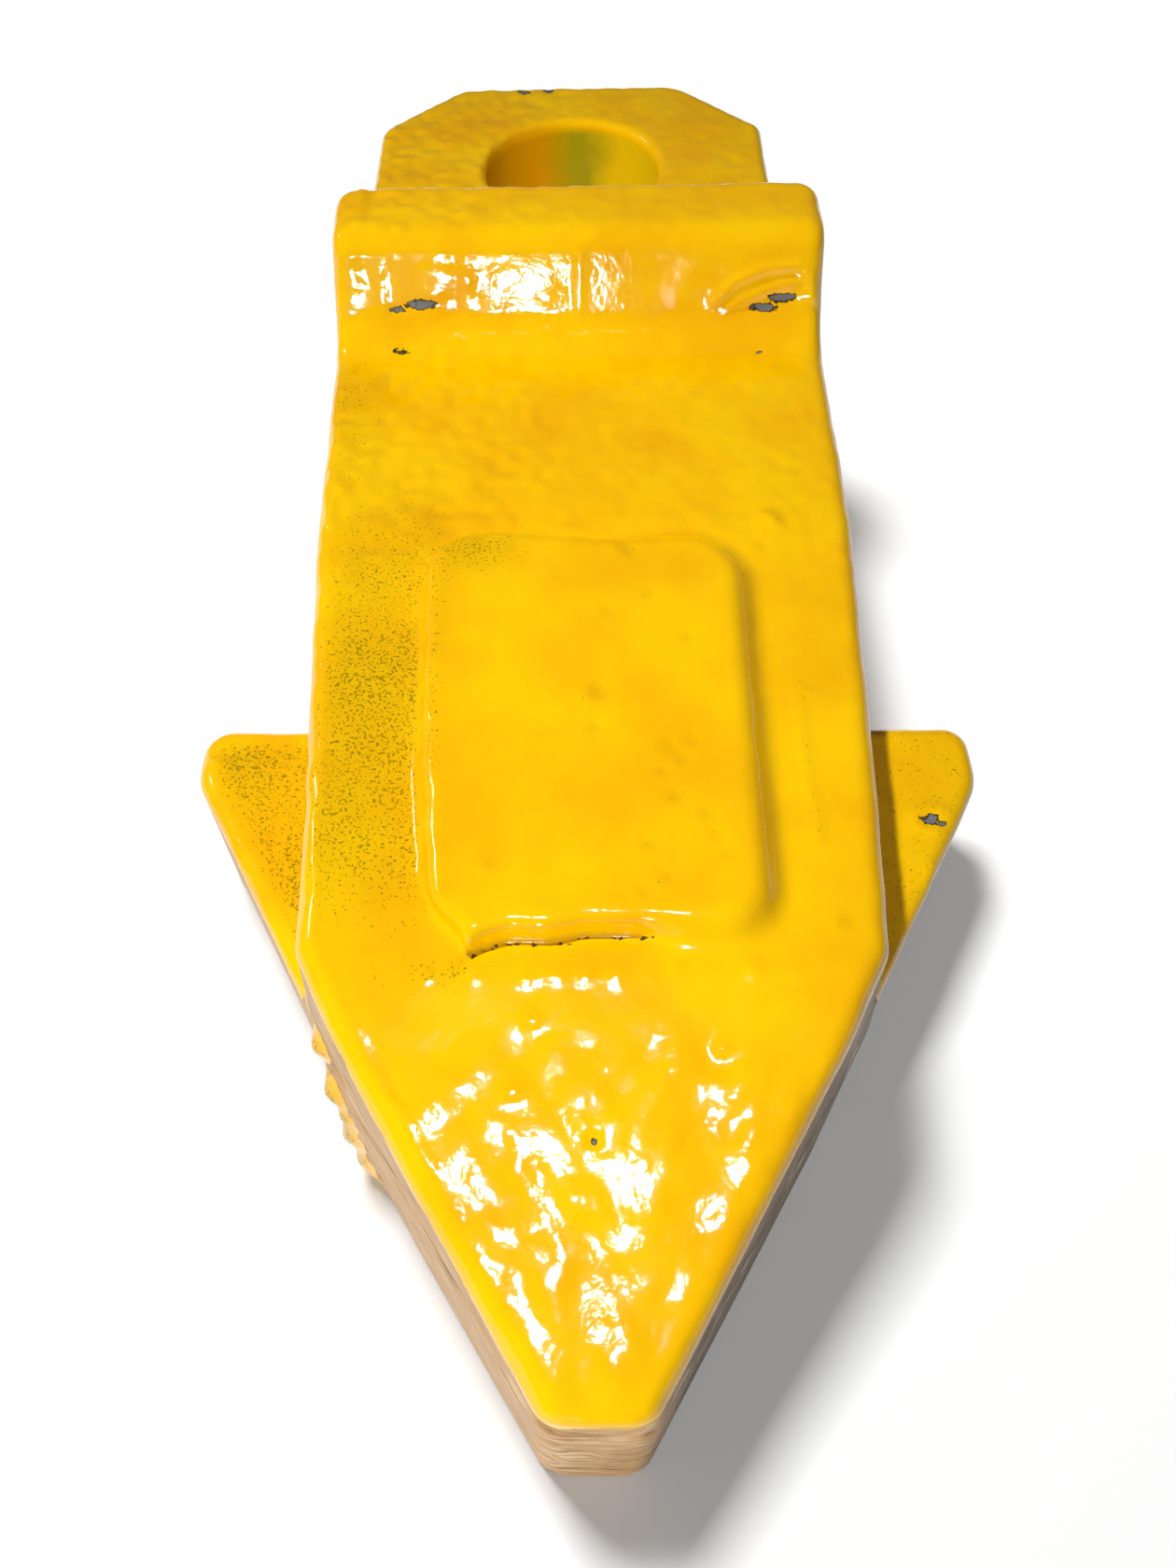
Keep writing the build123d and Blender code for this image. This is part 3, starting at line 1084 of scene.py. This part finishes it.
@dataclass(frozen=True)
class GroundSteel:
    """Manganese steel, ground with a coarse wheel: dull and streaked along the wall. Its tan is
    partly a painted reflection of warm surroundings, it carries painted pale glints, and painted
    shade turns the right wall dark brown."""

    # The tan partly stands in for warm surroundings reflected in the steel: a painted reflection.
    colour: str = "#CFA26C"
    # Dark brown painted shade for the right wall, which faces away from the key.
    right_wall_painted_shade: str = "#4E3420"
    streak: str = "#8C6A38"
    # Pale painted highlight colour.
    painted_glint: str = "#F0DCB0"
    metallic: float = 0.3
    roughness: float = 0.46
    streak_mm: tuple[float, float] = (9.0, 0.8)
    streak_depth_mm: float = 0.12

    def streaks(self, tree: bpy.types.NodeTree, place: bpy.types.NodeSocket,
                along: bpy.types.NodeSocket) -> bpy.types.NodeSocket:
        """Noise drawn out along the wall, where along is the way round it in millimetres."""
        height = add_node(tree, "SeparateXYZ", links={0: place}, out=2)
        u = add_node(tree, "Math", {"operation": "DIVIDE", 1: self.streak_mm[0]}, {0: along})
        v = add_node(tree, "Math", {"operation": "DIVIDE", 1: self.streak_mm[1] * MM}, {0: height})
        at = add_node(tree, "CombineXYZ", links={0: u, 1: v})
        return add_node(tree, "TexNoise", {"Scale": 1.0, "Detail": 3.0}, {"Vector": at})

    def shade(self, tree: bpy.types.NodeTree, place: bpy.types.NodeSocket,
              streaks: bpy.types.NodeSocket) -> bpy.types.NodeSocket:
        """Tan as a partly painted reflection, painted shade of dark brown on the right wall, brown
        streaks, and painted pale highlights.
        """
        x = add_node(tree, "SeparateXYZ", links={0: place})
        # Painted shade: walls to the right of the middle are mixed towards dark brown.
        right = add_node(tree, "MapRange", {"From Min": 5.0 * MM, "From Max": 12.0 * MM,
                                            "To Max": 0.95}, {"Value": x})
        dark = add_node(tree, "MapRange", {"From Min": 0.53, "From Max": 0.68}, {"Value": streaks})
        wall = add_node(tree, "Mix", {"data_type": "RGBA", 6: self.colour, 7: self.right_wall_painted_shade},
                        {0: right}, 2)
        wall = add_node(tree, "Mix", {"data_type": "RGBA", 7: self.streak}, {0: dark, 6: wall}, 2)
        # Painted highlight: pale glints where the streak noise is low.
        pale = add_node(tree, "MapRange", {"From Min": 0.46, "From Max": 0.32, "To Max": 0.8},
                        {"Value": streaks})
        return add_node(tree, "Mix", {"data_type": "RGBA", 7: self.painted_glint}, {0: pale, 6: wall}, 2)


@dataclass(frozen=True)
class ChippedIron:
    """Bare grey cast skin in the chips, with a dark broken rim of paint. The rim colour also paints
    the shadow line under the pad's lip.
    """

    colour: str = "#74757A"
    rim: str = "#3E3614"
    roughness: float = 0.5
    grain_mm: float = 0.9
    depth_mm: float = 0.15


@dataclass(frozen=True)
class CoatedCasting:
    """The casting's one material: enamel, ground steel, dry spray and chips by their masks."""

    enamel: GlossEnamel = GlossEnamel()
    steel: GroundSteel = GroundSteel()
    spray: DrySpray = DrySpray()
    chip: ChippedIron = ChippedIron()

    def material(self) -> bpy.types.Material:
        """Builds the node tree.

        The masks' edges are broken up by noise, so that a chip's rim and the paint's lower edge
        are ragged. The bump adds up the orange peel, the grinding streaks and the chips' depth.

        Returns:
            The material.
        """
        made = bpy.data.materials.new("yellow_enamel_on_cast_steel")
        made.use_nodes = True
        tree = made.node_tree
        tree.nodes.clear()
        place = add_node(tree, "TexCoord", out="Object")
        mask = {m: add_node(tree, "Attribute", {"attribute_name": m.value}, out="Fac")
                for m in Mask}

        yellow = self.enamel.shade(tree, place, mask[Mask.THIN])
        specks = self.spray.specks(tree, place, mask[Mask.DRY])
        coated = self.spray.shade(tree, yellow, mask[Mask.DRY], specks)
        streaks = self.steel.streaks(tree, place, mask[Mask.ALONG])
        wall = self.steel.shade(tree, place, streaks)

        ragged = add_node(tree, "TexNoise", {"Scale": 1 / (1.2 * MM), "Detail": 3.0},
                          {"Vector": place})
        depth = add_node(tree, "Math", {"operation": "MULTIPLY_ADD", 1: 1.6},
                         {0: ragged, 2: mask[Mask.BARE]})
        bare = add_node(tree, "MapRange", {"From Min": 0.68, "From Max": 0.92}, {"Value": depth})
        grain = add_node(tree, "TexNoise", {"Scale": 1 / (self.chip.grain_mm * MM), "Detail": 3.0},
                         {"Vector": place})
        torn = add_node(tree, "Math", {"operation": "MULTIPLY_ADD", 1: 1.1},
                        {0: grain, 2: mask[Mask.CHIP_AND_GROOVE_SHADOW]})
        # Because the lip groove has a share in the chip mask, this rim colour is also a painted
        # shadow line under the pad's lip.
        rim = add_node(tree, "MapRange", {"From Min": 1.04, "From Max": 1.10}, {"Value": torn})
        core = add_node(tree, "MapRange", {"From Min": 1.18, "From Max": 1.26}, {"Value": torn})

        colour = add_node(tree, "Mix", {"data_type": "RGBA"}, {0: bare, 6: coated, 7: wall}, 2)
        colour = add_node(tree, "Mix", {"data_type": "RGBA", 7: self.chip.rim},
                          {0: rim, 6: colour}, 2)
        colour = add_node(tree, "Mix", {"data_type": "RGBA", 7: self.chip.colour},
                          {0: core, 6: colour}, 2)
        rough = add_node(tree, "Mix", {2: self.enamel.roughness, 3: self.steel.roughness},
                         {0: bare})
        rough = add_node(tree, "Mix", {3: self.chip.roughness}, {0: rim, 2: rough})
        metal = add_node(tree, "Math", {"operation": "MULTIPLY", 1: self.steel.metallic}, {0: bare})

        scored = add_node(tree, "Math", {"operation": "MULTIPLY"}, {0: streaks, 1: bare})
        height = self.enamel.peel(tree, place)
        for depth_mm, where in ((self.steel.streak_depth_mm, scored), (self.chip.depth_mm, rim)):
            height = add_node(tree, "Math", {"operation": "MULTIPLY_ADD", 1: -depth_mm},
                              {0: where, 2: height})
        bump = add_node(tree, "Bump", {"Strength": 1.0, "Distance": MM}, {"Height": height})
        shader = add_node(tree, "BsdfPrincipled", {"IOR": 1.5},
                          {"Base Color": colour, "Roughness": rough, "Metallic": metal,
                           "Normal": bump})
        add_node(tree, "OutputMaterial", links={"Surface": shader})
        return made


# Studio


@dataclass(frozen=True)
class PhotoCamera:
    """The photograph's viewpoint, in pixels of its 1260 x 1680 frame and millimetres."""

    focal: float = 1476.1
    middle: tuple[float, float] = (556.55, 731.9)
    frame: tuple[int, int] = (1260, 1680)
    place: tuple[float, float, float] = (-4.044, -33.22, 211.92)
    pitch: float = 50.90
    yaw: float = -2.616
    roll: float = -2.365

    def build(self, cast: CastForm) -> None:
        """Makes the camera and hands it to the scene."""
        data = bpy.data.cameras.new("photo_camera")
        data.sensor_fit = "VERTICAL"
        data.sensor_height = 36.0
        data.sensor_width = 36.0 * self.frame[0] / self.frame[1]
        data.lens = 36.0 * self.focal / self.frame[1]
        data.shift_x = (self.frame[0] / 2 - self.middle[0]) / self.frame[1]
        data.shift_y = (self.middle[1] - self.frame[1] / 2) / self.frame[1]
        data.clip_start = 0.01
        camera = bpy.data.objects.new("photo_camera", data)
        x, y, z = self.place
        camera.location = (x * MM, (y - cast.length / 2) * MM, z * MM)
        tilt, yaw, roll = (math.radians(a) for a in (90.0 - self.pitch, -self.yaw, self.roll))
        camera.rotation_euler = (Matrix.Rotation(yaw, 3, "Z") @ Matrix.Rotation(tilt, 3, "X")
                                 @ Matrix.Rotation(roll, 3, "Z")).to_euler()
        bpy.context.scene.collection.objects.link(camera)
        bpy.context.scene.camera = camera


class Lit(Enum):
    """What a lamp shines on."""

    TOOTH = "tooth"
    FLOOR = "floor"


@dataclass(frozen=True)
class Lamp:
    """A rectangular lamp with a grid of slats before it, which narrows its beam.

    The level is the brightness that it gives white paper turned to it at the place it points at.
    """

    name: str
    place: tuple[float, float, float]
    aim: tuple[float, float, float]
    size: tuple[float, float]
    level: float
    spread: float = 180.0
    lit: Lit = Lit.TOOTH
    diffuse: bool = True
    glossy: bool = True
    shadow: bool = True

    @property
    def power(self) -> float:
        """Watts: level times pi squared times distance squared, over the gain of the slats, which
        is tan(a) / (tan(a) - a) for a beam of half angle a."""
        half = math.radians(self.spread / 2)
        gain = 1.0 if self.spread > 179.0 else math.tan(half) / (math.tan(half) - half)
        return self.level * math.pi ** 2 * math.dist(self.place, self.aim) ** 2 / gain

    def build(self, groups: dict[Lit, bpy.types.Collection]) -> None:
        """Makes the lamp, which shines on its group alone.

        Args:
            groups: the objects of each group.
        """
        data = bpy.data.lights.new(self.name, "AREA")
        data.shape = "RECTANGLE"
        data.size, data.size_y = self.size
        data.energy = self.power
        data.spread = math.radians(self.spread)
        data.use_shadow = self.shadow
        lamp = bpy.data.objects.new(self.name, data)
        lamp.visible_diffuse = self.diffuse
        lamp.visible_glossy = self.glossy
        lamp.location = self.place
        lamp.rotation_euler = (Vector(self.aim) - Vector(self.place)).to_track_quat(
            "-Z", "Y").to_euler()
        lamp.light_linking.receiver_collection = groups[self.lit]
        bpy.context.scene.collection.objects.link(lamp)


@dataclass(frozen=True)
class Studio:
    """Pale floor, one small key lamp for the tooth and a wide one for its shadow on the floor, two
    windows and a strip that the wet paint mirrors, soft fill from the front and a dim world."""

    floor_half: float = 4.0
    floor_glow: float = 0.24
    floor_grey: float = 0.82
    floor_bounce: float = 0.30
    ambient: float = 0.08
    lamps: tuple[Lamp, ...] = (
        Lamp("key", (-0.31, 0.325, 1.10), (0.0, -0.078, 0.04), (0.05, 0.05), 1.02, spread=38.0,
             glossy=False),
        Lamp("floor_key", (-0.27, 0.24, 1.10), (0.0, 0.0, 0.0), (0.22, 0.22), 1.02,
             lit=Lit.FLOOR),
        Lamp("left_strip", (-0.72, 0.365, 0.64), (-0.035, -0.075, 0.05), (0.08, 0.25), 0.1,
             spread=40.0, diffuse=False, shadow=False),
        Lamp("nose_window", (-0.008, -0.277, 0.617), (-0.003, -0.112, 0.04), (0.048, 0.055), 0.26,
             spread=26.0, diffuse=False, shadow=False),
        Lamp("rib_window", (-0.050, -1.02, 0.32), (-0.014, 0.05, 0.062), (0.10, 0.085), 0.5,
             spread=5.5, diffuse=False, shadow=False),
        Lamp("front_fill", (-0.36, -1.00, 0.22), (0.0, 0.0, 0.05), (0.5, 0.3), 0.76,
             glossy=False, shadow=False),
    )

    def floor(self) -> bpy.types.Object:
        """Makes the floor: white to the camera and in reflections, darkened by shadows, and with
        little light thrown back up at the walls."""
        half = self.floor_half
        mesh = bpy.data.meshes.new("floor")
        mesh.from_pydata([(-half, -half, 0), (half, -half, 0), (half, half, 0), (-half, half, 0)],
                         [], [(0, 1, 2, 3)])
        floor = bpy.data.objects.new("floor", mesh)
        bpy.context.scene.collection.objects.link(floor)
        white = bpy.data.materials.new("white_paper")
        white.use_nodes = True
        tree = white.node_tree
        tree.nodes.clear()
        seen = add_node(tree, "Math", {"operation": "MAXIMUM"}, {
            0: add_node(tree, "LightPath", out="Is Camera Ray"),
            1: add_node(tree, "LightPath", out="Is Glossy Ray")})
        seen = add_node(tree, "Math", {"operation": "MAXIMUM"}, {
            0: seen, 1: add_node(tree, "LightPath", out="Is Transmission Ray")})
        share = add_node(tree, "Math", {"operation": "MULTIPLY", 1: self.floor_glow},
                         {0: seen})
        glow = add_node(tree, "Emission", {"Color": (1, 1, 1, 1)}, {"Strength": share})
        grey = add_node(tree, "MapRange", {"To Min": self.floor_bounce, "To Max": self.floor_grey},
                        {"Value": seen})
        paper = add_node(tree, "BsdfDiffuse", links={"Color": grey})
        both = add_node(tree, "AddShader", links={0: glow, 1: paper})
        add_node(tree, "OutputMaterial", links={"Surface": both})
        mesh.materials.append(white)
        return floor

    def build(self, tooth: bpy.types.Object) -> None:
        """Makes the floor, the lamps and the world.

        Args:
            tooth: what stands on the floor.
        """
        groups = {}
        for lit, thing in ((Lit.TOOTH, tooth), (Lit.FLOOR, self.floor())):
            groups[lit] = bpy.data.collections.new("lit_" + lit.value)
            groups[lit].objects.link(thing)
        for lamp in self.lamps:
            lamp.build(groups)
        world = bpy.data.worlds.new("studio")
        world.use_nodes = True
        sky = world.node_tree.nodes["Background"]
        sky.inputs["Color"].default_value = (1, 1, 1, 1)
        sky.inputs["Strength"].default_value = self.ambient
        bpy.context.scene.world = world


def main() -> None:
    """Builds the tooth and the studio."""
    logging.basicConfig(level=logging.INFO, format="%(name)s: %(message)s")
    bpy.context.scene.view_settings.view_transform = "Standard"
    casting = ToothCasting()
    PhotoCamera().build(casting.cast)
    tooth = casting.build()
    casting.dress(tooth)
    Studio().build(tooth)
    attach(tooth, "root")
    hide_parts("tooth")


if __name__ == "__main__":
    main()
